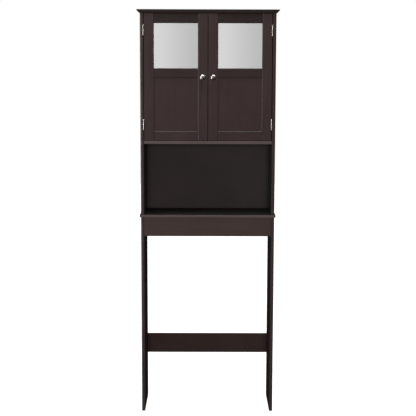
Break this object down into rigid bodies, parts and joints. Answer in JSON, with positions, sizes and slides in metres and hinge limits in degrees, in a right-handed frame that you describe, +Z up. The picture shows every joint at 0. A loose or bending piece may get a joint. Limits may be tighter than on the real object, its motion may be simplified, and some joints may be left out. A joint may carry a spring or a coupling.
{
  "type": "over the toilet storage rack",
  "caption": "Tall shallow bathroom cabinet that stands over a toilet on panel legs, with framed half-glazed doors above an open niche.",
  "frame": {"origin": "on the floor, under the middle of the overall box, knobs included", "axes": "+Z up, the front with the doors faces -Y, +X to the right seen from the front"},
  "size_m": [0.585, 0.2442, 1.7],
  "materials": {
    "espresso_board": "espresso lacquer on medium density fibreboard, satin",
    "hardboard_back": "espresso foil on thin hardboard, satin",
    "frosted_glass": "acid-etched float glass, matt white",
    "satin_nickel": "satin nickel plate",
    "zinc_steel": "bright zinc plate",
    "moulded_plastic": "injection moulded, fine matt grain",
    "glide_plastic": "injection moulded, smooth",
    "ferrite_magnet": "pressed and sintered, ground faces"
  },
  "bodies": {
    "carcass": {"back_panel": "hardboard_back", "cabinet_floor": "espresso_board", "catch_housing": "moulded_plastic", "crown_top": "espresso_board", "front_apron": "espresso_board", "inner_shelf": "espresso_board", "ledge_shelf": "espresso_board", "left_back_glide": "glide_plastic", "left_back_shelf_pin": "zinc_steel", "left_catch_magnet": "ferrite_magnet", "left_front_glide": "glide_plastic", "left_front_shelf_pin": "zinc_steel", "left_leg_panel": "espresso_board", "left_lower_hinge_cabinet_leaf": "satin_nickel", "left_lower_hinge_pin": "satin_nickel", "left_side_panel": "espresso_board", "left_upper_hinge_cabinet_leaf": "satin_nickel", "left_upper_hinge_pin": "satin_nickel", "rear_stretcher": "espresso_board", "right_back_glide": "glide_plastic", "right_back_shelf_pin": "zinc_steel", "right_catch_magnet": "ferrite_magnet", "right_front_glide": "glide_plastic", "right_front_shelf_pin": "zinc_steel", "right_leg_panel": "espresso_board", "right_lower_hinge_cabinet_leaf": "satin_nickel", "right_lower_hinge_pin": "satin_nickel", "right_side_panel": "espresso_board", "right_upper_hinge_cabinet_leaf": "satin_nickel", "right_upper_hinge_pin": "satin_nickel"},
    "left_door": {"left_door_bottom_rail": "espresso_board", "left_door_glass": "frosted_glass", "left_door_glass_retainer": "moulded_plastic", "left_door_hinge_stile": "espresso_board", "left_door_knob": "satin_nickel", "left_door_knob_screw": "zinc_steel", "left_door_knob_stile": "espresso_board", "left_door_middle_rail": "espresso_board", "left_door_panel": "espresso_board", "left_door_strike_plate": "zinc_steel", "left_door_top_rail": "espresso_board", "left_lower_hinge_door_leaf": "satin_nickel", "left_upper_hinge_door_leaf": "satin_nickel"},
    "right_door": {"right_door_bottom_rail": "espresso_board", "right_door_glass": "frosted_glass", "right_door_glass_retainer": "moulded_plastic", "right_door_hinge_stile": "espresso_board", "right_door_knob": "satin_nickel", "right_door_knob_screw": "zinc_steel", "right_door_knob_stile": "espresso_board", "right_door_middle_rail": "espresso_board", "right_door_panel": "espresso_board", "right_door_strike_plate": "zinc_steel", "right_door_top_rail": "espresso_board", "right_lower_hinge_door_leaf": "satin_nickel", "right_upper_hinge_door_leaf": "satin_nickel"}
  },
  "joints": [
    {"name": "left_door_hinge", "type": "hinge", "parent": "carcass", "child": "left_door", "pos_m": [-0.26475, -0.10162, 1.425], "axis": [0, 0, -1], "range_deg": [0, 180]},
    {"name": "right_door_hinge", "type": "hinge", "parent": "carcass", "child": "right_door", "pos_m": [0.26475, -0.10162, 1.425], "axis": [0, 0, 1], "range_deg": [0, 180]}
  ]
}
